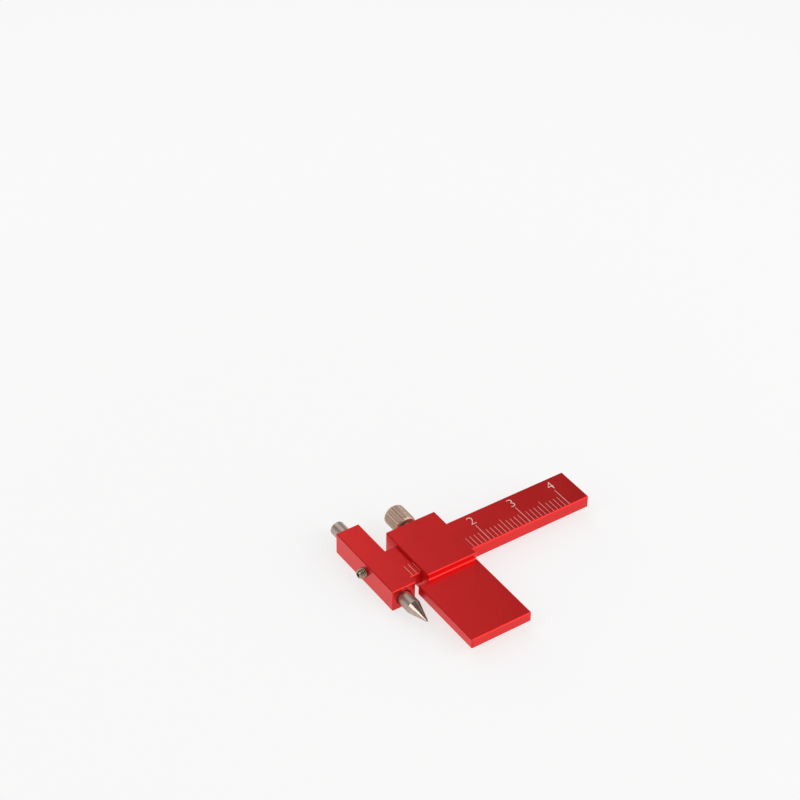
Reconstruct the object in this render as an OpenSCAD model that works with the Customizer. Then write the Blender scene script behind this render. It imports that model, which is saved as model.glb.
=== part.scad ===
// Parallel scribing ruler: a graduated beam with a cross head that holds a scriber,
// and a sliding fence that is clamped on the beam to set the scribing distance.
// Units are millimetres. The origin lies on the resting plane, below the scriber's axis
// and on the beam's centreline. +X runs along the beam, +Y to the rear and +Z upwards.

/* [Head] */
// Width of the head along the beam
head_width = 5.45; // [4.8:0.05:8]
// Beam centreline to the head's front face
head_front = 6.4; // [5.4:0.1:6.6]
// Beam centreline to the head's rear face
head_rear = 14.3; // [10:0.1:24]
// Height of the head, from the resting plane to the graduated face
head_height = 5.1; // [4.4:0.1:7]

/* [Beam] */
// Width of the beam across its graduated face
beam_width = 9.2; // [7:0.1:9.6]
// Thickness of the beam
beam_thickness = 2.9; // [2:0.1:3.2]
// Scriber axis to the beam's free end
beam_reach = 47.1; // [30:0.1:90]

/* [Sliding fence] */
// Distance from the scriber's axis to the fence edge, as read on the scale
reading = 3; // [1.8:0.1:20]
// Width of the sliding block along the beam
slider_width = 11.85; // [8:0.05:18]
// Wall of the sliding block in front of the beam
slider_front_wall = 2.1; // [1.5:0.1:4]
// Wall of the sliding block behind the beam, where the clamp screw threads in
slider_rear_wall = 3.6; // [2.6:0.1:6]
// Wall of the sliding block above the beam
slider_roof = 0.8; // [0.5:0.05:2]
// Length of the guide plate in front of the sliding block
fence_length = 18.5; // [10:0.1:40]
// Thickness of the guide plate
fence_thickness = 2.35; // [1.2:0.05:3]
// Depth of the guide plate's top below the block's top
fence_drop = 1.5; // [0.6:0.05:2]
// Relief between the block's front face and the guide plate's leading strip
fence_relief = 0.1; // [0.1:0.05:2]
// Chamfer left in the inside corner between the guide plate and the block
fence_fillet = 0.2; // [0.1:0.05:0.5]

/* [Scale] */
// Distance of the scale's zero line inside the head's right face
zero_inset = 0.375; // [0:0.025:1]

/* [Scriber] */
// Diameter of the scriber's shank
scriber_diameter = 3.175; // [2:0.005:3.2]
// Height of the scriber's axis above the resting plane
scriber_height = 2.45; // [2.2:0.05:3.5]
// Length of straight shank in front of the head
scriber_front = 3.4; // [1:0.1:10]
// Length of the ground conical point
point_length = 4.95; // [3:0.05:9]
// Length of shank behind the head
scriber_tail = 4; // [1:0.05:10]
// Diameter of the honed land where the point's cone ends
point_land = 0.5; // [0.2:0.05:1]
// Length of the honed tip in front of that land
tip_length = 0.45; // [0.2:0.05:1]

/* [Set screw] */
// Diameter of the set screw over its thread
set_screw_diameter = 2; // [1.6:0.1:3.5]
// Length of the set screw
set_screw_length = 2.5; // [1.8:0.05:5]
// Size of its hex socket across the flats
set_screw_key = 0.9; // [0.7:0.1:1.6]
// Depth of its hex socket
set_screw_socket = 1; // [0.6:0.1:1.2]

/* [Thumb screw] */
// Diameter of the knurled knob over the crests
knob_diameter = 4.8; // [4:0.1:7]
// Length of the knob
knob_length = 5; // [3:0.1:10]
// Gap between the sliding block's rear face and the knob when clamped
knob_gap = 1.2; // [0.3:0.1:3]
// Diameter of the threaded stud
stud_diameter = 2.5; // [1.6:0.1:2.6]
// Depth of the straight knurl
knurl_depth = 0.2; // [0.1:0.05:0.3]
// Crests of the knurl around the knob
knurl_crests = 22; // [16:1:40]

/* [Clamp pad] */
// Length of the brass pad between the stud and the beam
pad_length = 1; // [0.6:0.1:1.4]

/* [Fits and edges] */
// Gap on each side between the beam and the sliding block's slot
slide_gap = 0.05; // [0.02:0.01:0.1]
// Radial clearance of the scriber in its bore
bore_gap = 0.0125; // [0.01:0.0025:0.05]
// Radial clearance of a screw or pad in its hole
thread_gap = 0.03; // [0.01:0.01:0.1]
// Clearance where a clamped piece meets what it presses on
seat_gap = 0.02; // [0.01:0.01:0.05]
// Width of the broken edges on the machined pieces
edge_break = 0.15; // [0.1:0.05:0.4]
// Radius of the upright corners on the machined pieces
corner_radius = 0.25; // [0.2:0.05:0.8]
// Chamfer at the ends of the pin, the screws and the hole mouths
end_chamfer = 0.2; // [0.1:0.05:0.4]

/* [Hidden] */
$fn = 64;

anodised_red = [0.72, 0.13, 0.13];
stainless_steel = [0.66, 0.62, 0.58];
tool_steel = [0.6, 0.58, 0.55];
black_oxide_steel = [0.34, 0.32, 0.3];
brass = [0.78, 0.6, 0.28];

// Overlap that carries a cut clear of a face or one solid into the next
overlap = 0.5;

// Head and beam
head_right = head_width / 2;
head_left = -head_right;
beam_front = -beam_width / 2;
beam_rear = beam_width / 2;
beam_bottom = head_height - beam_thickness;

// Sliding fence
fence_lead = head_right - zero_inset;
fence_edge = reading;
slider_left = fence_edge + fence_lead;
slider_right = slider_left + slider_width;
slot_front = beam_front - slide_gap;
slot_rear = beam_rear + slide_gap;
slot_bottom = beam_bottom - slide_gap;
slot_top = head_height + slide_gap;
slider_front = slot_front - slider_front_wall;
slider_rear = slot_rear + slider_rear_wall;
slider_top = slot_top + slider_roof;
fence_top = slider_top - fence_drop;
fence_bottom = fence_top - fence_thickness;
fence_end = slider_front - fence_length;
strip_rear = slider_front - fence_relief;

// Scriber and its bore
scriber_radius = scriber_diameter / 2;
bore_radius = scriber_radius + bore_gap;
scriber_shoulder = -head_front - scriber_front;
scriber_rear = head_rear + scriber_tail;

// Set screw, at the middle of the head's length
set_screw_radius = set_screw_diameter / 2;
set_screw_y = (head_rear - head_front) / 2;
set_screw_tip = -scriber_radius - seat_gap;
set_screw_back = set_screw_tip - set_screw_length;

// Clamp screw and pad, in line with the beam's rear edge
clamp_x = (slider_left + slider_right) / 2;
clamp_z = (beam_bottom + head_height) / 2;
stud_radius = stud_diameter / 2;
pad_front = beam_rear + seat_gap;
pad_rear = pad_front + pad_length;
stud_front = pad_rear + seat_gap;
knob_front = slider_rear + knob_gap;
knob_radius = knob_diameter / 2;
knurl_valley = knob_radius - knurl_depth;

// Places a child along +Y, with its own Z axis running to the rear
module along_y(x, y, z) {
    translate([x, y, z]) rotate([-90, 0, 0]) children();
}

// Places a child along +X, with its own Z axis running to the right
module along_x(x, y, z) {
    translate([x, y, z]) rotate([0, 90, 0]) children();
}

// Rectangle with each corner cut off at 45 degrees
module cut_corner_rectangle(low, high, cut) {
    polygon([
        [low.x + cut, low.y], [high.x - cut, low.y], [high.x, low.y + cut], [high.x, high.y - cut],
        [high.x - cut, high.y], [low.x + cut, high.y], [low.x, high.y - cut], [low.x, low.y + cut]
    ]);
}

// Rectangle with round corners
module round_corner_rectangle(low, high, radius) {
    size = high - low;
    translate([low.x + radius, low.y]) square([size.x - 2 * radius, size.y]);
    translate([low.x, low.y + radius]) square([size.x, size.y - 2 * radius]);
    for (x = [low.x + radius, high.x - radius], y = [low.y + radius, high.y - radius])
        translate([x, y]) circle(radius);
}

// Machined block between two corners, with round upright corners and broken edges
module machined_block(low, high) {
    size = high - low;
    intersection() {
        translate([0, 0, low.z])
            linear_extrude(size.z)
                round_corner_rectangle([low.x, low.y], [high.x, high.y], corner_radius);
        translate([0, high.y, 0]) rotate([90, 0, 0])
            linear_extrude(size.y)
                cut_corner_rectangle([low.x, low.z], [high.x, high.z], edge_break);
        translate([low.x, 0, 0]) rotate([90, 0, 90])
            linear_extrude(size.x)
                cut_corner_rectangle([low.y, low.z], [high.y, high.z], edge_break);
    }
}

// Round hole of a given length with a chamfer at its far mouth, along the local Z axis
module mouthed_hole(radius, length) {
    rotate_extrude()
        polygon([
            [0, -overlap], [radius, -overlap], [radius, length - end_chamfer],
            [radius + end_chamfer + overlap, length + overlap], [0, length + overlap]
        ]);
}

// Straight-knurled knob along the local Z axis: ridges along its length that run out
// into a chamfer at each end
module knurled_knob(crest, valley, crests, length) {
    sides = 2 * round(crests);
    face = valley - end_chamfer;
    blank = crest + overlap;
    intersection() {
        linear_extrude(length)
            polygon([for (side = [0 : sides - 1])
                let (radius = side % 2 == 0 ? crest : valley, turn = side * 360 / sides)
                    [radius * cos(turn), radius * sin(turn)]]);
        rotate_extrude()
            polygon([
                [0, 0], [face, 0], [blank, blank - face],
                [blank, length - blank + face], [face, length], [0, length]
            ]);
    }
}

// Cross head and graduated beam, machined in one piece
module scale_beam() {
    color(anodised_red)
        difference() {
            union() {
                machined_block([head_left, -head_front, 0], [head_right, head_rear, head_height]);
                machined_block(
                    [head_right - corner_radius - edge_break - overlap, beam_front, beam_bottom],
                    [beam_reach, beam_rear, head_height]
                );
            }
            along_y(0, 0, scriber_height) mouthed_hole(bore_radius, head_rear);
            along_y(0, 0, scriber_height) mirror([0, 0, 1]) mouthed_hole(bore_radius, head_front);
            along_x(-overlap, set_screw_y, scriber_height) mirror([0, 0, 1])
                mouthed_hole(set_screw_radius + thread_gap, head_right - overlap);
        }
}

// Metal that the cutter leaves in the corner between the block's front face and the guide plate
module inside_corner() {
    translate([slider_left + edge_break, 0, 0]) rotate([90, 0, 90])
        linear_extrude(slider_width - 2 * edge_break)
            polygon([
                [slider_front - fence_fillet, fence_top - overlap],
                [slider_front + overlap, fence_top - overlap],
                [slider_front + overlap, fence_top + fence_fillet],
                [slider_front, fence_top + fence_fillet],
                [slider_front - fence_fillet, fence_top]
            ]);
}

// Sliding block with a closed slot for the beam, and the guide plate in front of it
module sliding_fence() {
    color(anodised_red)
        difference() {
            union() {
                machined_block([slider_left, slider_front, 0], [slider_right, slider_rear, slider_top]);
                machined_block([fence_edge, fence_end, fence_bottom], [slider_right, strip_rear, fence_top]);
                machined_block(
                    [slider_left, strip_rear - corner_radius - edge_break - overlap, fence_bottom],
                    [slider_right, slider_front + corner_radius + edge_break + overlap, fence_top]
                );
                inside_corner();
            }
            translate([slider_left - overlap, slot_front, slot_bottom])
                cube([slider_width + 2 * overlap, slot_rear - slot_front, slot_top - slot_bottom]);
            along_y(clamp_x, slot_rear, clamp_z)
                mouthed_hole(stud_radius + thread_gap, slider_rear_wall);
        }
}

// Clamp screw: straight-knurled knob and threaded stud in one piece
module thumb_screw() {
    color(stainless_steel) {
        along_y(clamp_x, 0, clamp_z)
            rotate_extrude()
                polygon([
                    [0, stud_front], [stud_radius - end_chamfer, stud_front],
                    [stud_radius, stud_front + end_chamfer], [stud_radius, knob_front + overlap],
                    [0, knob_front + overlap]
                ]);
        along_y(clamp_x, knob_front, clamp_z)
            knurled_knob(knob_radius, knurl_valley, knurl_crests, knob_length);
    }
}

// Brass slug between the stud and the beam's rear edge
module clamp_pad() {
    color(brass)
        along_y(clamp_x, pad_front, clamp_z)
            cylinder(h = pad_length, r = stud_radius);
}

// Scriber: round shank, ground cone and honed tip in one piece
module scriber() {
    tip = scriber_shoulder - point_length;
    color(tool_steel)
        along_y(0, 0, scriber_height)
            rotate_extrude()
                polygon([
                    [0, tip], [point_land / 2, tip + tip_length], [scriber_radius, scriber_shoulder],
                    [scriber_radius, scriber_rear - end_chamfer],
                    [scriber_radius - end_chamfer, scriber_rear], [0, scriber_rear]
                ]);
}

// Set screw with a hex socket and a chamfered point
module set_screw() {
    color(black_oxide_steel)
        difference() {
            along_x(0, set_screw_y, scriber_height)
                rotate_extrude()
                    polygon([
                        [0, set_screw_back], [set_screw_radius - end_chamfer, set_screw_back],
                        [set_screw_radius, set_screw_back + end_chamfer],
                        [set_screw_radius, set_screw_tip - end_chamfer],
                        [set_screw_radius - end_chamfer, set_screw_tip], [0, set_screw_tip]
                    ]);
            along_x(set_screw_back - overlap, set_screw_y, scriber_height)
                cylinder(h = set_screw_socket + overlap, d = set_screw_key / cos(30), $fn = 6);
        }
}

scale_beam();
sliding_fence();
thumb_screw();
clamp_pad();
scriber();
set_screw();
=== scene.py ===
"""Studio scene of a small red parallel scribing ruler.

A graduated beam with a cross head carries a pointed scriber, and a sliding fence is clamped
on the beam by a knurled thumb screw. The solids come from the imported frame. This script gives
them their finishes and adds the engraved scale, the cut knurl and the screw threads.

Lengths are in metres and lie in the frame's own axes: +X along the beam, +Y to the rear and
+Z up, with the origin on the resting plane below the scriber's axis.
"""

import logging
import math
from dataclasses import dataclass, replace
from enum import Enum
from typing import Any

import bmesh
import bpy
from mathutils import Matrix, Quaternion, Vector

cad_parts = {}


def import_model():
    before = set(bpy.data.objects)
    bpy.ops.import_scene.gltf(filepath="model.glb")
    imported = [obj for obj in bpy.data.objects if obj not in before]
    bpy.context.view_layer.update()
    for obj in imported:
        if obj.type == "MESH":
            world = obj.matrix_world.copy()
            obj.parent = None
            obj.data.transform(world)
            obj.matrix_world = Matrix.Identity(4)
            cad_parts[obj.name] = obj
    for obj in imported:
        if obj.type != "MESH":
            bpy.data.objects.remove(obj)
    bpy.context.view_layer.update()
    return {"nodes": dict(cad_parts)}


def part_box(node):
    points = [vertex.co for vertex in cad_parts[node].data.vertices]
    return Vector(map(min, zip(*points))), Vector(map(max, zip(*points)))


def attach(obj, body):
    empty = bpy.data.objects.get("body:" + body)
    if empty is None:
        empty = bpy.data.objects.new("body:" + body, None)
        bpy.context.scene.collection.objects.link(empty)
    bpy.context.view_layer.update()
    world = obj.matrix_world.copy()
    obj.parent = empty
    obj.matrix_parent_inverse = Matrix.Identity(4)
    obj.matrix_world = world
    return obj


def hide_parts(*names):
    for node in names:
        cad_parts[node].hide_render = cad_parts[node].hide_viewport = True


log = logging.getLogger("scribing_ruler")

MM = 0.001
SLIVER = 0.0001 * MM
CREASE = math.radians(32)

Colour = tuple[float, float, float, float]
Point = tuple[float, float, float]

FLOAT = "NodeSocketFloat"
INTEGER = "NodeSocketInt"
VECTOR = "NodeSocketVector"
MATERIAL = "NodeSocketMaterial"

# The colour sockets of a Mix node, by index because its other sockets have the same names
MIX_A = 6
MIX_B = 7
MIX_RESULT = 2


# Node trees


class NodeSketch:
    """Adds and links the nodes of one tree."""

    def __init__(self, tree: bpy.types.NodeTree) -> None:
        """Keeps the tree that is drawn in."""
        self.tree = tree

    def feed(self, socket: bpy.types.NodeSocket, value: Any) -> None:
        """Links a socket to another one, or sets its own value.

        Args:
            socket: The input to feed.
            value: An output socket, or a plain value.
        """
        if isinstance(value, bpy.types.NodeSocket):
            self.tree.links.new(value, socket)
        else:
            socket.default_value = value

    def add(self, kind: str, inputs: dict[Any, Any] | None = None, **settings: Any) -> bpy.types.Node:
        """Adds a node.

        Args:
            kind: The node's type name.
            inputs: What feeds each input, by the input's name or index.
            settings: The node's own settings.

        Returns:
            The new node.
        """
        node = self.tree.nodes.new(kind)
        for name, value in settings.items():
            setattr(node, name, value)
        for key, value in (inputs or {}).items():
            self.feed(node.inputs[key], value)
        return node

    def math(self, operation: str, *values: Any) -> bpy.types.NodeSocket:
        """Adds a Math node.

        Args:
            operation: The sum that the node works out.
            values: What feeds its inputs, in order.

        Returns:
            The node's result.
        """
        return self.add("ShaderNodeMath", dict(enumerate(values)), operation=operation).outputs[0]

    def spread(
        self, value: Any, low: float, high: float, to_low: float, to_high: float
    ) -> bpy.types.NodeSocket:
        """Stretches a range of values over another one, and clamps it there.

        Args:
            value: What is stretched.
            low: The start of its range.
            high: The end of its range.
            to_low: The result at the start.
            to_high: The result at the end.

        Returns:
            The stretched value.
        """
        sockets = {"Value": value, "From Min": low, "From Max": high, "To Min": to_low, "To Max": to_high}
        return self.add("ShaderNodeMapRange", sockets).outputs["Result"]

    def group(self, tree: bpy.types.NodeTree, inputs: dict[str, Any]) -> Any:
        """Places a shared shader group and gives its output sockets."""
        return self.add("ShaderNodeGroup", inputs, node_tree=tree).outputs


class FormTree(NodeSketch):
    """A geometry tree with named inputs, whose result is taken out as a plain mesh."""

    def __init__(self, name: str, inputs: dict[str, str]) -> None:
        """Makes the tree with its inputs and its one output.

        Args:
            name: The tree's name.
            inputs: The socket type of each named input.
        """
        super().__init__(bpy.data.node_groups.new(name, "GeometryNodeTree"))
        face = self.tree.interface
        face.new_socket("Geometry", in_out="OUTPUT", socket_type="NodeSocketGeometry")
        for label, kind in {**inputs, "Material": MATERIAL}.items():
            face.new_socket(label, in_out="INPUT", socket_type=kind)
        self.given = self.add("NodeGroupInput").outputs

    def close(self, geometry: bpy.types.NodeSocket) -> None:
        """Ends the tree with real geometry in the given material.

        Args:
            geometry: The finished form.
        """
        real = self.add("GeometryNodeRealizeInstances", {"Geometry": geometry})
        dressed = self.add(
            "GeometryNodeSetMaterial",
            {"Geometry": real.outputs["Geometry"], "Material": self.given["Material"]},
        )
        self.add("NodeGroupOutput", {"Geometry": dressed.outputs["Geometry"]})

    def grow(self, name: str, values: dict[str, Any]) -> bpy.types.Object:
        """Runs the tree once.

        Args:
            name: The new object's name.
            values: The value of each named input.

        Returns:
            An object with the result as its own plain mesh.
        """
        piece = new_piece(name, bpy.data.meshes.new(name))
        modifier = piece.modifiers.new("form", "NODES")
        modifier.node_group = self.tree
        for item in self.tree.interface.items_tree:
            if item.in_out == "INPUT":
                modifier[item.identifier] = values[item.name]
        mesh = evaluated_mesh(piece)
        piece.modifiers.remove(modifier)
        piece.data = mesh
        mesh.name = name
        return piece


def new_piece(name: str, data: Any) -> bpy.types.Object:
    """Links a new object to the scene.

    Args:
        name: The object's name.
        data: Its mesh, curve, lamp or camera.

    Returns:
        The object, at the origin.
    """
    piece = bpy.data.objects.new(name, data)
    bpy.context.scene.collection.objects.link(piece)
    return piece


def evaluated_mesh(piece: bpy.types.Object) -> bpy.types.Mesh:
    """Takes an object's finished shape out as a mesh.

    Args:
        piece: An object with modifiers, or a text.

    Returns:
        A plain mesh of its own.
    """
    depsgraph = bpy.context.evaluated_depsgraph_get()
    return bpy.data.meshes.new_from_object(piece.evaluated_get(depsgraph), depsgraph=depsgraph)


def settle_mesh(mesh: bpy.types.Mesh, place: Matrix) -> None:
    """Puts a grown mesh in its place, turns its faces outwards and shades it.

    Args:
        mesh: The mesh to finish.
        place: Where it goes in the frame.
    """
    mesh.transform(place)
    work = bmesh.new()
    work.from_mesh(mesh)
    bmesh.ops.dissolve_degenerate(work, dist=SLIVER, edges=work.edges)
    bmesh.ops.recalc_face_normals(work, faces=work.faces)
    work.to_mesh(mesh)
    work.free()
    mesh.shade_smooth()
    mesh.set_sharp_from_angle(angle=CREASE)


# Finishes


class Lay(Enum):
    """The direction in which a surface was worked."""

    BLASTED = "blasted"
    TURNED = "turned"


@dataclass(frozen=True)
class TurningAxis:
    """The axis that a turned piece was turned about."""

    point: Point = (0.0, 0.0, 0.0)
    turn: Point = (0.0, 0.0, 0.0)


@dataclass(frozen=True)
class MetalFinish:
    """The look of one metal surface.

    A turned surface can be ground smoother up to a place on its axis, which takes the gain from
    its roughness.
    """

    name: str
    colour: Colour
    worn_colour: Colour
    lay: Lay
    metallic: float
    roughness: float
    roughness_spread: float
    coat: float = 0.0
    coat_roughness: float = 0.1
    grain_size: float = 0.08 * MM
    grain_depth: float = 0.004 * MM
    tone_spread: float = 0.1
    patch_size: float = 6 * MM
    wear_width: float = 0.08 * MM
    wear_break: float = 1.5 * MM
    wear: float = 0.5
    axis: TurningAxis = TurningAxis()
    ground_end: float = 0.0
    ground_gain: float = 0.0


SCRIBER_AXIS = TurningAxis(point=(0.0, 0.0, 2.45 * MM), turn=(-math.pi / 2, 0.0, 0.0))
CLAMP_AXIS = TurningAxis(point=(11.275 * MM, 0.0, 3.65 * MM), turn=(-math.pi / 2, 0.0, 0.0))
SET_SCREW_AXIS = TurningAxis(point=(0.0, 3.95 * MM, 2.45 * MM), turn=(0.0, math.pi / 2, 0.0))

ANODISED_RED = MetalFinish(
    name="anodised_red",
    colour=(0.76, 0.014, 0.014, 1.0),
    worn_colour=(0.84, 0.2, 0.19, 1.0),
    lay=Lay.BLASTED,
    metallic=0.7,
    roughness=0.3,
    roughness_spread=0.06,
    coat=0.07,
    coat_roughness=0.15,
    grain_size=0.09 * MM,
    grain_depth=0.0008 * MM,
    tone_spread=0.06,
    patch_size=9 * MM,
    wear_width=0.06 * MM,
    wear_break=0.5 * MM,
    wear=0.3,
)
STAINLESS_STEEL = MetalFinish(
    name="stainless_steel",
    colour=(0.58, 0.42, 0.33, 1.0),
    worn_colour=(0.8, 0.74, 0.68, 1.0),
    lay=Lay.TURNED,
    metallic=1.0,
    roughness=0.48,
    roughness_spread=0.14,
    grain_size=0.06 * MM,
    grain_depth=0.0015 * MM,
    tone_spread=0.12,
    patch_size=1.5 * MM,
    wear_width=0.05 * MM,
    wear=0.5,
    axis=CLAMP_AXIS,
)
TOOL_STEEL = MetalFinish(
    name="tool_steel",
    # The colour's warm brown tint is a painted reflection of orange surroundings; under it is the grey of
    # the steel itself.
    colour=(0.46, 0.365, 0.31, 1.0),
    worn_colour=(0.75, 0.72, 0.68, 1.0),
    lay=Lay.TURNED,
    metallic=1.0,
    roughness=0.4,
    roughness_spread=0.16,
    grain_size=0.12 * MM,
    grain_depth=0.0012 * MM,
    tone_spread=0.28,
    patch_size=1.3 * MM,
    wear_width=0.06 * MM,
    wear=0.5,
    axis=SCRIBER_AXIS,
    ground_end=-9.8 * MM,
    ground_gain=0.2,
)
BLACK_OXIDE = MetalFinish(
    name="black_oxide_steel",
    colour=(0.27, 0.21, 0.145, 1.0),
    worn_colour=(0.96, 0.9, 0.75, 1.0),
    lay=Lay.TURNED,
    metallic=1.0,
    roughness=0.2,
    roughness_spread=0.12,
    grain_size=0.07 * MM,
    grain_depth=0.0015 * MM,
    tone_spread=0.25,
    patch_size=0.8 * MM,
    wear_width=0.12 * MM,
    wear_break=0.6 * MM,
    wear=1.0,
    axis=SET_SCREW_AXIS,
)
SOCKET_OXIDE = MetalFinish(
    name="socket_oxide",
    colour=(0.05, 0.042, 0.034, 1.0),
    worn_colour=(0.2, 0.17, 0.13, 1.0),
    lay=Lay.TURNED,
    metallic=1.0,
    roughness=0.45,
    roughness_spread=0.16,
    grain_size=0.07 * MM,
    grain_depth=0.0015 * MM,
    tone_spread=0.2,
    patch_size=0.8 * MM,
    wear_width=0.05 * MM,
    axis=SET_SCREW_AXIS,
)
BRASS = MetalFinish(
    name="brass",
    colour=(0.58, 0.38, 0.1, 1.0),
    worn_colour=(0.8, 0.62, 0.3, 1.0),
    lay=Lay.TURNED,
    metallic=1.0,
    roughness=0.3,
    roughness_spread=0.12,
    grain_size=0.08 * MM,
    grain_depth=0.002 * MM,
    tone_spread=0.1,
    patch_size=1.5 * MM,
    axis=CLAMP_AXIS,
)
ETCHED_LINE = MetalFinish(
    name="etched_line",
    colour=(1.0, 0.52, 0.48, 1.0),
    worn_colour=(1.0, 0.6, 0.56, 1.0),
    lay=Lay.BLASTED,
    metallic=0.1,
    roughness=0.7,
    roughness_spread=0.1,
    grain_size=0.05 * MM,
    grain_depth=0.001 * MM,
    tone_spread=0.15,
    patch_size=1.5 * MM,
    wear=0.0,
)
ETCHED_FIGURE = replace(
    ETCHED_LINE,
    name="etched_figure",
    colour=(1.0, 0.84, 0.75, 1.0),
    worn_colour=(0.98, 0.9, 0.86, 1.0),
)


class Effects:
    """The shader groups that several finishes share.

    The limits of an edge are cosines of the angle between its flat and its rounded normal, and each
    range is the part of a noise that is stretched from nothing to full.
    """

    BEVEL_SAMPLES = 6
    EDGE_START = 0.995
    EDGE_FULL = 0.9
    RUB_RANGE = (0.35, 0.62)
    RUB_LEAST = 0.25
    GRAIN_RANGE = (0.3, 0.7)
    PIT_SHARE = 0.5
    LINE_RANGE = (0.35, 0.65)
    SCUFF_FREQUENCY = 0.3
    SCUFF_SHARE = 0.3
    CLOUD_RANGE = (0.3, 0.7)

    def __init__(self) -> None:
        """Builds each group once."""
        self.edge_wear = self._edge_wear()
        self.blasted_grain = self._blasted_grain()
        self.turning_lines = self._turning_lines()
        self.handling = self._handling()

    @staticmethod
    def _group(name: str, inputs: dict[str, str], outputs: dict[str, str]) -> tuple[NodeSketch, Any]:
        """Makes an empty group with named sockets.

        Args:
            name: The group's name.
            inputs: The socket type of each input.
            outputs: The socket type of each output.

        Returns:
            A sketch of the group, and its input sockets.
        """
        tree = bpy.data.node_groups.new(name, "ShaderNodeTree")
        for label, kind in inputs.items():
            tree.interface.new_socket(label, in_out="INPUT", socket_type=kind)
        for label, kind in outputs.items():
            tree.interface.new_socket(label, in_out="OUTPUT", socket_type=kind)
        sketch = NodeSketch(tree)
        return sketch, sketch.add("NodeGroupInput").outputs

    def _edge_wear(self) -> bpy.types.NodeTree:
        """Makes a mask that is 1 along worn edges, broken up along their length.

        Returns:
            The group.
        """
        sketch, given = self._group(
            "edge_wear",
            {"Position": VECTOR, "Width": FLOAT, "Break Up": FLOAT, "Amount": FLOAT},
            {"Mask": FLOAT},
        )
        rounded = sketch.add("ShaderNodeBevel", {"Radius": given["Width"]}, samples=self.BEVEL_SAMPLES)
        flat = sketch.add("ShaderNodeNewGeometry")
        turned = sketch.add(
            "ShaderNodeVectorMath",
            {0: rounded.outputs["Normal"], 1: flat.outputs["Normal"]},
            operation="DOT_PRODUCT",
        )
        edge = sketch.spread(turned.outputs["Value"], self.EDGE_START, self.EDGE_FULL, 0.0, 1.0)
        noise = sketch.add("ShaderNodeTexNoise", {"Vector": given["Position"], "Scale": given["Break Up"]})
        rubbed = sketch.spread(noise.outputs[0], *self.RUB_RANGE, self.RUB_LEAST, 1.0)
        mask = sketch.math("MULTIPLY", sketch.math("MULTIPLY", edge, rubbed), given["Amount"])
        sketch.add("NodeGroupOutput", {"Mask": mask})
        return sketch.tree

    def _blasted_grain(self) -> bpy.types.NodeTree:
        """Makes the fine even grain of a blasted surface.

        Returns:
            The group.
        """
        sketch, given = self._group(
            "blasted_grain", {"Position": VECTOR, "Frequency": FLOAT}, {"Height": FLOAT, "Tone": FLOAT}
        )
        fine = sketch.add(
            "ShaderNodeTexNoise", {"Vector": given["Position"], "Scale": given["Frequency"], "Detail": 3.0}
        )
        pits = sketch.add(
            "ShaderNodeTexVoronoi", {"Vector": given["Position"], "Scale": given["Frequency"]}, feature="F1"
        )
        dents = sketch.math("MULTIPLY", pits.outputs["Distance"], self.PIT_SHARE)
        height = sketch.math("ADD", fine.outputs[0], dents)
        tone = sketch.spread(fine.outputs[0], *self.GRAIN_RANGE, 0.0, 1.0)
        sketch.add("NodeGroupOutput", {"Height": height, "Tone": tone})
        return sketch.tree

    def _turning_lines(self) -> bpy.types.NodeTree:
        """Makes the rings that a cutting tool or a grinding wheel leaves around the local Z axis.

        Returns:
            The group.
        """
        sketch, given = self._group(
            "turning_lines", {"Position": VECTOR, "Frequency": FLOAT}, {"Height": FLOAT, "Tone": FLOAT}
        )
        parts = sketch.add("ShaderNodeSeparateXYZ", {0: given["Position"]}).outputs
        flat = sketch.add("ShaderNodeCombineXYZ", {"X": parts["X"], "Y": parts["Y"]}).outputs[0]
        radius = sketch.add("ShaderNodeVectorMath", {0: flat}, operation="LENGTH").outputs["Value"]
        ring = sketch.math("ADD", parts["Z"], radius)
        lines = sketch.add(
            "ShaderNodeTexNoise",
            {"W": sketch.math("MULTIPLY", ring, given["Frequency"]), "Scale": 1.0, "Detail": 4.0},
            noise_dimensions="1D",
        )
        coarse = sketch.math("MULTIPLY", given["Frequency"], self.SCUFF_FREQUENCY)
        scuffs = sketch.add("ShaderNodeTexNoise", {"Vector": given["Position"], "Scale": coarse})
        dents = sketch.math("MULTIPLY", scuffs.outputs[0], self.SCUFF_SHARE)
        height = sketch.math("ADD", lines.outputs[0], dents)
        tone = sketch.spread(lines.outputs[0], *self.LINE_RANGE, 0.0, 1.0)
        sketch.add("NodeGroupOutput", {"Height": height, "Tone": tone})
        return sketch.tree

    def _handling(self) -> bpy.types.NodeTree:
        """Makes the broad cloudy patches that handling leaves on a finish.

        Returns:
            The group.
        """
        sketch, given = self._group("handling", {"Position": VECTOR, "Frequency": FLOAT}, {"Mask": FLOAT})
        clouds = sketch.add(
            "ShaderNodeTexNoise",
            {"Vector": given["Position"], "Scale": given["Frequency"], "Detail": 5.0, "Distortion": 0.6},
        )
        mask = sketch.spread(clouds.outputs[0], *self.CLOUD_RANGE, 0.0, 1.0)
        sketch.add("NodeGroupOutput", {"Mask": mask})
        return sketch.tree


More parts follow.
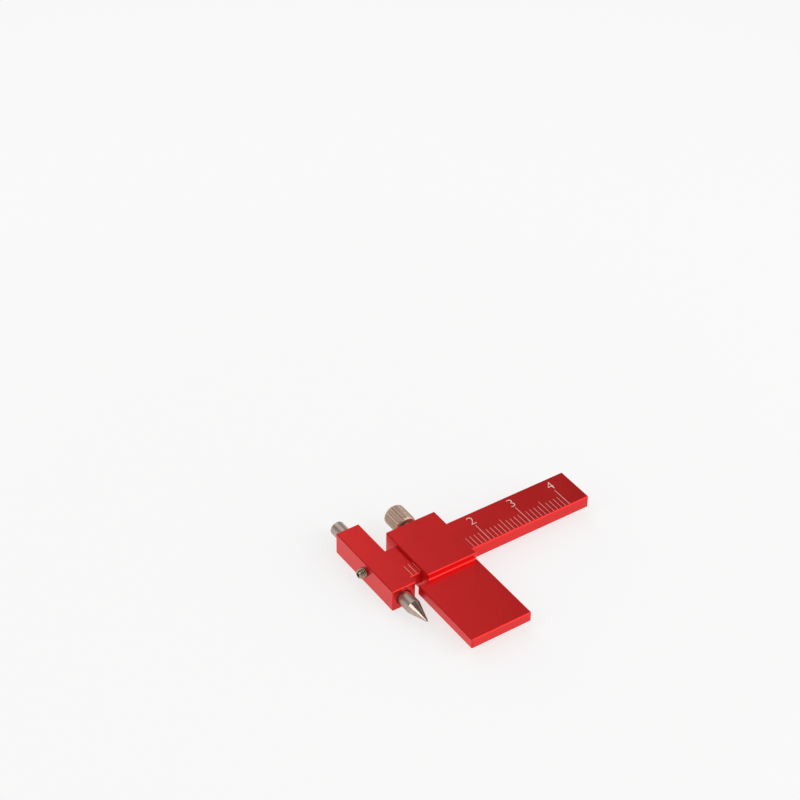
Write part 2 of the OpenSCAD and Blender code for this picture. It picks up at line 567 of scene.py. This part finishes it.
class FinishShop:
    """Turns each finish into a material."""

    def __init__(self) -> None:
        """Prepares the shared effects."""
        self.effects = Effects()
        self.made: dict[str, bpy.types.Material] = {}

    def metal(self, finish: MetalFinish) -> bpy.types.Material:
        """Gives the material of a metal finish, which is built the first time.

        Args:
            finish: The look to build.

        Returns:
            The material.
        """
        if finish.name not in self.made:
            self.made[finish.name] = self._build(finish)
        return self.made[finish.name]

    def _build(self, finish: MetalFinish) -> bpy.types.Material:
        """Builds the material of a metal finish.

        Args:
            finish: The look to build.

        Returns:
            The material.
        """
        material = bpy.data.materials.new(finish.name)
        material.use_nodes = True
        material.node_tree.nodes.clear()
        sketch = NodeSketch(material.node_tree)
        place = sketch.add("ShaderNodeTexCoord").outputs["Object"]
        position = place
        pattern = self.effects.blasted_grain
        if finish.lay is Lay.TURNED:
            mapping = sketch.add(
                "ShaderNodeMapping",
                {"Vector": place, "Location": finish.axis.point, "Rotation": finish.axis.turn},
                vector_type="TEXTURE",
            )
            position = mapping.outputs["Vector"]
            pattern = self.effects.turning_lines
        grain = sketch.group(pattern, {"Position": position, "Frequency": 1 / finish.grain_size})
        clouds = {"Position": place, "Frequency": 1 / finish.patch_size}
        smudge = sketch.group(self.effects.handling, clouds)["Mask"]
        wear = sketch.group(
            self.effects.edge_wear,
            {
                "Position": place,
                "Width": finish.wear_width,
                "Break Up": 1 / finish.wear_break,
                "Amount": finish.wear,
            },
        )["Mask"]
        shade = sketch.math("MULTIPLY", sketch.math("ADD", grain["Tone"], smudge), 0.5)
        half = finish.roughness_spread / 2
        rough = sketch.spread(shade, 0.0, 1.0, finish.roughness - half, finish.roughness + half)
        if finish.ground_gain:
            along = sketch.add("ShaderNodeSeparateXYZ", {0: position}).outputs["Z"]
            ground = sketch.math("LESS_THAN", along, finish.ground_end)
            rough = sketch.math("SUBTRACT", rough, sketch.math("MULTIPLY", ground, finish.ground_gain))
        bump = sketch.add(
            "ShaderNodeBump", {"Strength": 1.0, "Distance": finish.grain_depth, "Height": grain["Height"]}
        )
        shader = sketch.add(
            "ShaderNodeBsdfPrincipled",
            {
                "Base Color": self._metal_colour(sketch, finish, shade, wear),
                "Metallic": finish.metallic,
                "Roughness": rough,
                "Coat Weight": finish.coat,
                "Coat Roughness": finish.coat_roughness,
                "Normal": bump.outputs["Normal"],
            },
        )
        sketch.add("ShaderNodeOutputMaterial", {"Surface": shader.outputs["BSDF"]})
        return material

    @staticmethod
    def _metal_colour(
        sketch: NodeSketch, finish: MetalFinish, shade: Any, wear: Any
    ) -> bpy.types.NodeSocket:
        """Works out a metal's colour from its grain, its smudges and its worn edges.

        Args:
            sketch: The material's nodes.
            finish: The look to build.
            shade: The lightness that the grain and the smudges leave.
            wear: The mask of worn edges.

        Returns:
            The colour over the surface.
        """
        low = tuple(c * (1 - finish.tone_spread) for c in finish.colour[:3]) + (1.0,)
        high = tuple(min(1.0, c * (1 + finish.tone_spread)) for c in finish.colour[:3]) + (1.0,)
        body = sketch.add("ShaderNodeMix", {"Factor": shade, MIX_A: low, MIX_B: high}, data_type="RGBA")
        worn = sketch.add(
            "ShaderNodeMix",
            {"Factor": wear, MIX_A: body.outputs[MIX_RESULT], MIX_B: finish.worn_colour},
            data_type="RGBA",
        )
        return worn.outputs[MIX_RESULT]


# Turned and cut forms


@dataclass(frozen=True)
class Relief:
    """V grooves cut into a turned blank. The climb is the number of grooves in a metre of its length."""

    length: float
    crest_radius: float
    depth: float
    end_chamfer: float
    starts: int
    climb: float
    sharpness: float
    sides: int
    rings: int


class ReliefTree(FormTree):
    """A turned blank with V grooves: a thread where they climb, or else a straight knurl."""

    MERGE = 0.0005 * MM

    def __init__(self) -> None:
        """Builds the tree once."""
        super().__init__(
            "turned_relief",
            {
                "Length": FLOAT,
                "Crest Radius": FLOAT,
                "Depth": FLOAT,
                "End Chamfer": FLOAT,
                "Starts": INTEGER,
                "Climb": FLOAT,
                "Sharpness": FLOAT,
                "Sides": INTEGER,
                "Rings": INTEGER,
            },
        )
        given = self.given
        grid = self.add(
            "GeometryNodeMeshGrid",
            {
                "Size X": 1.0,
                "Size Y": 1.0,
                "Vertices X": self.math("ADD", given["Sides"], 1.0),
                "Vertices Y": self.math("ADD", given["Rings"], 1.0),
            },
        )
        position = self.add("GeometryNodeInputPosition").outputs[0]
        spot = self.add("ShaderNodeSeparateXYZ", {0: position}).outputs
        around = self.math("ADD", spot["X"], 0.5)
        along = self.math("MULTIPLY", self.math("ADD", spot["Y"], 0.5), given["Length"])
        radius = self._radius(around, along)
        angle = self.math("MULTIPLY", around, 2 * math.pi)
        wrapped = self.add(
            "ShaderNodeCombineXYZ",
            {
                "X": self.math("MULTIPLY", radius, self.math("COSINE", angle)),
                "Y": self.math("MULTIPLY", radius, self.math("SINE", angle)),
                "Z": along,
            },
        )
        skin = self.add(
            "GeometryNodeSetPosition",
            {"Geometry": grid.outputs["Mesh"], "Position": wrapped.outputs[0]},
        )
        whole = self.add("GeometryNodeJoinGeometry")
        for part in (skin.outputs["Geometry"], self._end(0.0), self._end(given["Length"])):
            self.feed(whole.inputs["Geometry"], part)
        closed = self.add(
            "GeometryNodeMergeByDistance",
            {"Geometry": whole.outputs["Geometry"], "Distance": self.MERGE},
        )
        self.close(closed.outputs["Geometry"])

    def _radius(self, around: bpy.types.NodeSocket, along: bpy.types.NodeSocket) -> bpy.types.NodeSocket:
        """Works out the surface's radius.

        Args:
            around: The place around the axis, as a share of a turn.
            along: The place along the axis.

        Returns:
            The radius there.
        """
        given = self.given
        turned = self.math("MULTIPLY_ADD", around, given["Starts"], 0.5)
        phase = self.math("SUBTRACT", turned, self.math("MULTIPLY", along, given["Climb"]))
        wave = self.math("MULTIPLY", self.math("PINGPONG", phase, 0.5), 2.0)
        ridge = self.math("MINIMUM", self.math("MULTIPLY", wave, given["Sharpness"]), 1.0)
        cut = self.math("MULTIPLY", self.math("SUBTRACT", 1.0, ridge), given["Depth"])
        cut_radius = self.math("SUBTRACT", given["Crest Radius"], cut)
        from_end = self.math("MINIMUM", along, self.math("SUBTRACT", given["Length"], along))
        end_radius = self.math("SUBTRACT", given["Crest Radius"], given["End Chamfer"])
        return self.math("MINIMUM", cut_radius, self.math("ADD", end_radius, from_end))

    def _end(self, height: Any) -> bpy.types.NodeSocket:
        """Makes the flat face that closes one end.

        Args:
            height: Its place along the axis.

        Returns:
            The face's mesh.
        """
        given = self.given
        disc = self.add(
            "GeometryNodeMeshCircle",
            {
                "Vertices": given["Sides"],
                "Radius": self.math("SUBTRACT", given["Crest Radius"], given["End Chamfer"]),
            },
            fill_type="TRIANGLE_FAN",
        )
        lift = self.add("ShaderNodeCombineXYZ", {"Z": height}).outputs[0]
        moved = self.add("GeometryNodeTransform", {"Geometry": disc.outputs["Mesh"], "Translation": lift})
        return moved.outputs["Geometry"]

    def cut(
        self, name: str, relief: Relief, place: Matrix, material: bpy.types.Material
    ) -> bpy.types.Object:
        """Makes one grooved piece.

        Args:
            name: The piece's name.
            relief: Its sizes.
            place: Where its axis lies in the frame.
            material: Its finish.

        Returns:
            The piece, with its place in its mesh.
        """
        piece = self.grow(
            name,
            {
                "Length": relief.length,
                "Crest Radius": relief.crest_radius,
                "Depth": relief.depth,
                "End Chamfer": relief.end_chamfer,
                "Starts": relief.starts,
                "Climb": relief.climb,
                "Sharpness": relief.sharpness,
                "Sides": relief.sides,
                "Rings": relief.rings,
                "Material": material,
            },
        )
        settle_mesh(piece.data, place)
        return piece


# Sub-assemblies


def along_y(x: float, y: float, z: float) -> Matrix:
    """Places a form made along +Z so that it runs along +Y from a point."""
    return Matrix.Translation((x, y, z)) @ Matrix.Rotation(-math.pi / 2, 4, "X")


def along_x(x: float, y: float, z: float) -> Matrix:
    """Places a form made along +Z so that it runs along +X from a point."""
    return Matrix.Translation((x, y, z)) @ Matrix.Rotation(math.pi / 2, 4, "Y")


def give_finish(node: bpy.types.Object, material: bpy.types.Material) -> None:
    """Gives a solid of the frame its finish.

    Args:
        node: The solid's object.
        material: Its finish.
    """
    for slot in node.material_slots:
        slot.material = material
    log.info("dressed %s in %s", node.name, material.name)


def node_box(node: str) -> tuple[Vector, Vector]:
    """Measures a solid of the frame.

    Args:
        node: The solid's name.

    Returns:
        Its lowest and its highest corner.
    """
    low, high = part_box(node)
    return Vector(low), Vector(high)


class TickTree(FormTree):
    """A row of scale lines, longer at each half and whole centimetre."""

    HALF_STEP = 5.0
    LONG_STEP = 10.0

    def __init__(self) -> None:
        """Builds the tree once."""
        super().__init__(
            "scale_lines",
            {
                "Count": INTEGER,
                "Spacing": FLOAT,
                "First Line": VECTOR,
                "Short Length": FLOAT,
                "Half Length": FLOAT,
                "Long Length": FLOAT,
                "Line Width": FLOAT,
                "Long Line Width": FLOAT,
                "Line Height": FLOAT,
            },
        )
        given = self.given
        step = self.add("ShaderNodeCombineXYZ", {"X": given["Spacing"]}).outputs[0]
        row = self.add(
            "GeometryNodeMeshLine",
            {"Count": given["Count"], "Start Location": given["First Line"], "Offset": step},
            mode="OFFSET",
        )
        number = self.math("ADD", self.add("GeometryNodeInputIndex").outputs[0], 1.0)
        half = self._every(number, self.HALF_STEP)
        long = self._every(number, self.LONG_STEP)
        length = self._grown(given["Short Length"], half, "Half Length", "Short Length")
        length = self._grown(length, long, "Long Length", "Half Length")
        width = self._grown(given["Line Width"], long, "Long Line Width", "Line Width")
        block = self.add("GeometryNodeMeshCube", {"Size": (1.0, 1.0, 1.0)})
        from_foot = self.add(
            "GeometryNodeTransform", {"Geometry": block.outputs["Mesh"], "Translation": (0.0, 0.5, 0.0)}
        )
        size = self.add("ShaderNodeCombineXYZ", {"X": width, "Y": length, "Z": given["Line Height"]})
        lines = self.add(
            "GeometryNodeInstanceOnPoints",
            {
                "Points": row.outputs["Mesh"],
                "Instance": from_foot.outputs["Geometry"],
                "Scale": size.outputs[0],
            },
        )
        self.close(lines.outputs["Instances"])

    def _every(self, number: bpy.types.NodeSocket, count: float) -> bpy.types.NodeSocket:
        """Gives 1 on each line whose number is a multiple of count, and 0 on the others."""
        return self.math("COMPARE", self.math("MODULO", number, count), 0.0, 0.5)

    def _grown(self, size: Any, where: Any, larger: str, smaller: str) -> bpy.types.NodeSocket:
        """Makes some of the lines larger.

        Args:
            size: The size of each line so far.
            where: 1 on each line that grows, and 0 on the others.
            larger: The named size that they grow to.
            smaller: The named size that they grow from.

        Returns:
            The new size of each line.
        """
        step = self.math("SUBTRACT", self.given[larger], self.given[smaller])
        return self.math("MULTIPLY_ADD", where, step, size)


@dataclass
class ScaleBeam:
    """The graduated beam and its cross head, with the scale engraved on top.

    The scale's zero is a place along the beam and the feet are places across it. The thinning is a
    share of the font's size.
    """

    zero: float = 2.35 * MM
    line_foot: float = -4.35 * MM
    lines: int = 40
    spacing: float = 1.0 * MM
    short_line: float = 3.05 * MM
    half_line: float = 4.0 * MM
    long_line: float = 5.2 * MM
    line_width: float = 0.085 * MM
    long_line_width: float = 0.13 * MM
    mark_height: float = 0.02 * MM
    figures: tuple[int, ...] = (1, 2, 3, 4)
    figure_foot: float = 1.3 * MM
    figure_height: float = 2.25 * MM
    figure_width: float = 1.4 * MM
    figure_spacing: float = 10.0 * MM
    figure_thinning: float = -0.022

    def build(self, node: bpy.types.Object, shop: FinishShop) -> None:
        """Dresses the beam and engraves its scale.

        Args:
            node: The beam's solid.
            shop: Makes the finishes of the beam and its marks.
        """
        give_finish(node, shop.metal(ANODISED_RED))
        top = node_box(node.name)[1].z
        marks = TickTree().grow(
            "scale_lines",
            {
                "Count": self.lines,
                "Spacing": self.spacing,
                "First Line": (self.zero + self.spacing, self.line_foot, top),
                "Short Length": self.short_line,
                "Half Length": self.half_line,
                "Long Length": self.long_line,
                "Line Width": self.line_width,
                "Long Line Width": self.long_line_width,
                "Line Height": self.mark_height,
                "Material": shop.metal(ETCHED_LINE),
            },
        )
        for piece in (marks, self.numerals(shop.metal(ETCHED_FIGURE), top)):
            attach(piece, "beam")
            log.info("engraved %s", piece.name)

    def numerals(self, etched: bpy.types.Material, top: float) -> bpy.types.Object:
        """Makes the centimetre figures.

        Args:
            etched: The finish of the figures.
            top: The height of the beam's top face.

        Returns:
            All figures as one piece.
        """
        work = bmesh.new()
        for figure in self.figures:
            mesh = self.numeral(str(figure))
            middle = self.zero + figure * self.figure_spacing
            mesh.transform(Matrix.Translation((middle, self.figure_foot, top)))
            work.from_mesh(mesh)
            bpy.data.meshes.remove(mesh)
        joined = bpy.data.meshes.new("scale_figures")
        work.to_mesh(joined)
        work.free()
        joined.materials.append(etched)
        return new_piece("scale_figures", joined)

    def numeral(self, figure: str) -> bpy.types.Mesh:
        """Makes one figure, standing on the local X axis and centred on it.

        Args:
            figure: The digit.

        Returns:
            Its mesh, at its real size.
        """
        text = bpy.data.curves.new("figure", "FONT")
        text.body = figure
        unit_height = 1.0
        text.extrude = unit_height / 2
        text.offset = self.figure_thinning
        holder = new_piece("figure", text)
        mesh = evaluated_mesh(holder)
        bpy.data.objects.remove(holder)
        corners = [vertex.co for vertex in mesh.vertices]
        low = Vector(min(corner[axis] for corner in corners) for axis in range(3))
        high = Vector(max(corner[axis] for corner in corners) for axis in range(3))
        tall = self.figure_height / (high.y - low.y)
        wide = min(tall, self.figure_width / (high.x - low.x))
        middle = (low.x + high.x) / 2
        mesh.transform(Matrix.Translation((-middle, -low.y, 0.0)))
        mesh.transform(Matrix.Diagonal((wide, tall, self.mark_height, 1.0)))
        return mesh


@dataclass
class SlidingFence:
    """The sliding block and its guide plate, which keep the solid's own shape."""

    finish: MetalFinish = ANODISED_RED

    def dress(self, node: bpy.types.Object, shop: FinishShop) -> None:
        """Gives the fence its finish."""
        give_finish(node, shop.metal(self.finish))


@dataclass
class Scriber:
    """The pointed pin, which keeps the solid's own shape."""

    finish: MetalFinish = TOOL_STEEL

    def dress(self, node: bpy.types.Object, shop: FinishShop) -> None:
        """Gives the pin its finish."""
        give_finish(node, shop.metal(self.finish))


@dataclass
class Clamp:
    """The knurled thumb screw behind the sliding block, and the pad at its end."""

    knob: Relief = Relief(
        length=5.0 * MM,
        crest_radius=2.4 * MM,
        depth=0.2 * MM,
        end_chamfer=0.4 * MM,
        starts=22,
        climb=0.0,
        sharpness=1.2,
        sides=264,
        rings=100,
    )
    stud: Relief = Relief(
        length=4.0 * MM,
        crest_radius=1.25 * MM,
        depth=0.276 * MM,
        end_chamfer=0.3 * MM,
        starts=1,
        climb=1 / (0.45 * MM),
        sharpness=1.15,
        sides=64,
        rings=144,
    )

    def build(self, pad: bpy.types.Object, forms: ReliefTree, shop: FinishShop) -> None:
        """Dresses the pad, and cuts the knob and the stud, which stand for the plain screw.

        Args:
            pad: The pad's solid.
            forms: The tree that cuts the screw.
            shop: Makes their finishes.
        """
        give_finish(pad, shop.metal(BRASS))
        steel = shop.metal(STAINLESS_STEEL)
        low, high = node_box("thumb_screw")
        middle = (low + high) / 2
        knob_place = along_y(middle.x, high.y - self.knob.length, middle.z)
        knob = forms.cut("thumb_screw_knob", self.knob, knob_place, steel)
        stud = forms.cut("thumb_screw_stud", self.stud, along_y(middle.x, low.y, middle.z), steel)
        for piece in (knob, stud):
            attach(piece, "clamp_screw")
            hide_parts("thumb_screw")
            log.info("cut %s with %d faces", piece.name, len(piece.data.polygons))


@dataclass
class SetScrew:
    """The socket set screw that holds the scriber in the head."""

    across_flats: float = 0.9 * MM
    socket_depth: float = 1.0 * MM
    overrun: float = 0.5 * MM
    thread: Relief = Relief(
        length=2.5 * MM,
        crest_radius=1.0 * MM,
        depth=0.2 * MM,
        end_chamfer=0.26 * MM,
        starts=1,
        climb=1 / (0.4 * MM),
        sharpness=1.15,
        sides=72,
        rings=100,
    )

    def build(self, forms: ReliefTree, shop: FinishShop) -> None:
        """Cuts the thread and the hex socket, which keeps the oxide that is rubbed off outside.

        Args:
            forms: The tree that cuts the thread.
            shop: Makes the finishes.
        """
        low, high = node_box("set_screw")
        middle = (low + high) / 2
        place = along_x(low.x, middle.y, middle.z)
        piece = forms.cut("set_screw_threaded", self.thread, place, shop.metal(BLACK_OXIDE))
        cutter = self.socket_bar(place, shop.metal(SOCKET_OXIDE))
        cut = piece.modifiers.new("socket", "BOOLEAN")
        cut.operation = "DIFFERENCE"
        cut.solver = "EXACT"
        cut.material_mode = "TRANSFER"
        cut.object = cutter
        mesh = evaluated_mesh(piece)
        piece.modifiers.remove(cut)
        bpy.data.objects.remove(cutter)
        piece.data = mesh
        settle_mesh(mesh, Matrix.Identity(4))
        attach(piece, "set_screw")
        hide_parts("set_screw")
        log.info("cut %s with %d faces", piece.name, len(mesh.polygons))

    def socket_bar(self, place: Matrix, dark: bpy.types.Material) -> bpy.types.Object:
        """Makes the six-sided bar that cuts the socket, with an overrun past the end face.

        Args:
            place: Where the screw's axis lies in the frame.
            dark: The finish that it leaves on the socket.

        Returns:
            A scratch object, to be removed after the cut.
        """
        length = self.socket_depth + self.overrun
        radius = self.across_flats / math.sqrt(3)
        work = bmesh.new()
        bmesh.ops.create_cone(
            work,
            cap_ends=True,
            segments=6,
            radius1=radius,
            radius2=radius,
            depth=length,
            matrix=Matrix.Translation((0.0, 0.0, length / 2 - self.overrun)),
        )
        mesh = bpy.data.meshes.new("socket_bar")
        work.to_mesh(mesh)
        work.free()
        mesh.transform(place)
        mesh.materials.append(dark)
        return new_piece("socket_bar", mesh)


# Studio


@dataclass(frozen=True)
class SoftBox:
    """One soft lamp that points at the object: its sides in metres and its power in watts."""

    name: str
    place: Point
    width: float
    height: float
    power: float

    def build(self) -> None:
        """Hangs the lamp."""
        data = bpy.data.lights.new(self.name, "AREA")
        data.shape = "RECTANGLE"
        data.size = self.width
        data.size_y = self.height
        data.energy = self.power
        lamp = new_piece(self.name, data)
        lamp.location = self.place
        lamp.rotation_mode = "QUATERNION"
        lamp.rotation_quaternion = (-Vector(self.place)).to_track_quat("-Z", "Y")


@dataclass
class Studio:
    """The pale floor, the soft light and the camera.

    The floor glows only for the camera and in mirrors, which see it a little lighter. From the inner
    to the outer distance it turns from a part glow, which leaves room for shadow, to glow alone. The
    sky's levels change over ranges of its direction's height and of its way to the right.
    """

    floor_size: float = 6.0
    floor_colour: Colour = (0.95, 0.945, 0.94, 1.0)
    floor_glow: float = 0.65
    glow_near: float = 1.07
    glow_far: float = 0.93
    mirror_gain: float = 1.09
    shadow_inner: float = 0.08
    shadow_outer: float = 0.3
    sky_horizon: float = 1.0
    sky_overhead: float = 0.2
    sky_right: float = 0.45
    height_range: tuple[float, float] = (0.15, 0.4)
    right_range: tuple[float, float] = (0.55, 0.8)
    eye: Point = (-180.12 * MM, -268.59 * MM, 304.19 * MM)
    aim: Point = (35.95 * MM, 48.57 * MM, 0.0)
    roll: float = math.radians(0.63)
    focal_pixels: float = 2214.4
    frame_pixels: float = 800.0
    sensor: float = 36.0
    clip_start: float = 0.01
    lamps: tuple[SoftBox, ...] = (
        SoftBox("front_lamp", (0.5, -0.6, 0.36), 0.9, 0.9, 4.8),
        SoftBox("rear_lamp", (0.045, 0.69, 0.54), 0.7, 1.14, 2.55),
        SoftBox("left_lamp", (-0.67, 0.02, 0.61), 0.25, 0.7, 1.5),
    )

    def build(self) -> None:
        """Sets up everything round the object."""
        self.floor()
        self.sky()
        for lamp in self.lamps:
            lamp.build()
        self.camera()
        bpy.context.scene.view_settings.view_transform = "Standard"

    def floor(self) -> None:
        """Lays the floor, which looks white and still takes the object's shadow."""
        half = self.floor_size / 2
        mesh = bpy.data.meshes.new("floor")
        corners = [(-half, -half, 0.0), (half, -half, 0.0), (half, half, 0.0), (-half, half, 0.0)]
        mesh.from_pydata(corners, [], [(0, 1, 2, 3)])
        material = bpy.data.materials.new("pale_floor")
        material.use_nodes = True
        material.node_tree.nodes.clear()
        sketch = NodeSketch(material.node_tree)
        lit = sketch.add("ShaderNodeBsdfDiffuse", {"Color": self.floor_colour}).outputs["BSDF"]
        ray = sketch.add("ShaderNodeLightPath").outputs
        place = sketch.add("ShaderNodeTexCoord").outputs["Object"]
        away = sketch.add("ShaderNodeVectorMath", {0: place}, operation="LENGTH").outputs["Value"]
        share = sketch.spread(away, self.shadow_inner, self.shadow_outer, self.floor_glow, 1.0)
        level = sketch.spread(away, self.shadow_inner, self.shadow_outer, self.glow_near, self.glow_far)
        gain = sketch.spread(ray["Is Glossy Ray"], 0.0, 1.0, 1.0, self.mirror_gain)
        strength = sketch.math("MULTIPLY", level, gain)
        glow = sketch.add("ShaderNodeEmission", {"Strength": strength}).outputs["Emission"]
        shown = sketch.add("ShaderNodeMixShader", {0: share, 1: lit, 2: glow}).outputs[0]
        seen = sketch.math("MAXIMUM", ray["Is Camera Ray"], ray["Is Glossy Ray"])
        seen = sketch.math("MAXIMUM", seen, ray["Is Transmission Ray"])
        surface = sketch.add("ShaderNodeMixShader", {0: seen, 1: lit, 2: shown}).outputs[0]
        sketch.add("ShaderNodeOutputMaterial", {"Surface": surface})
        mesh.materials.append(material)
        new_piece("floor", mesh)

    def sky(self) -> None:
        """Makes the light of the room: bright at the horizon and on the right, and darker overhead."""
        world = bpy.data.worlds.new("studio")
        world.use_nodes = True
        world.node_tree.nodes.clear()
        sketch = NodeSketch(world.node_tree)
        way = sketch.add("ShaderNodeTexCoord").outputs["Generated"]
        parts = sketch.add("ShaderNodeSeparateXYZ", {0: way}).outputs
        horizon = sketch.spread(parts["Z"], *self.height_range, self.sky_horizon, self.sky_overhead)
        right = sketch.spread(parts["X"], *self.right_range, self.sky_overhead, self.sky_right)
        level = sketch.math("MAXIMUM", horizon, right)
        background = sketch.add("ShaderNodeBackground", {"Color": (1.0, 1.0, 1.0, 1.0), "Strength": level})
        sketch.add("ShaderNodeOutputWorld", {"Surface": background.outputs[0]})
        bpy.context.scene.world = world

    def camera(self) -> None:
        """Sets the camera at the photograph's viewpoint."""
        data = bpy.data.cameras.new("camera")
        data.sensor_width = self.sensor
        data.lens = self.focal_pixels * self.sensor / self.frame_pixels
        data.clip_start = self.clip_start
        camera = new_piece("camera", data)
        camera.location = self.eye
        camera.rotation_mode = "QUATERNION"
        look = (Vector(self.aim) - Vector(self.eye)).to_track_quat("-Z", "Y")
        camera.rotation_quaternion = look @ Quaternion((0.0, 0.0, 1.0), self.roll)
        bpy.context.scene.camera = camera


def main() -> None:
    """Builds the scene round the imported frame."""
    logging.basicConfig(level=logging.INFO, format="%(message)s")
    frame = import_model()
    nodes = frame["nodes"]
    shop = FinishShop()
    forms = ReliefTree()
    ScaleBeam().build(nodes["scale_beam"], shop)
    SlidingFence().dress(nodes["sliding_fence"], shop)
    Clamp().build(nodes["clamp_pad"], forms, shop)
    Scriber().dress(nodes["scriber"], shop)
    SetScrew().build(forms, shop)
    Studio().build()


if __name__ == "__main__":
    main()
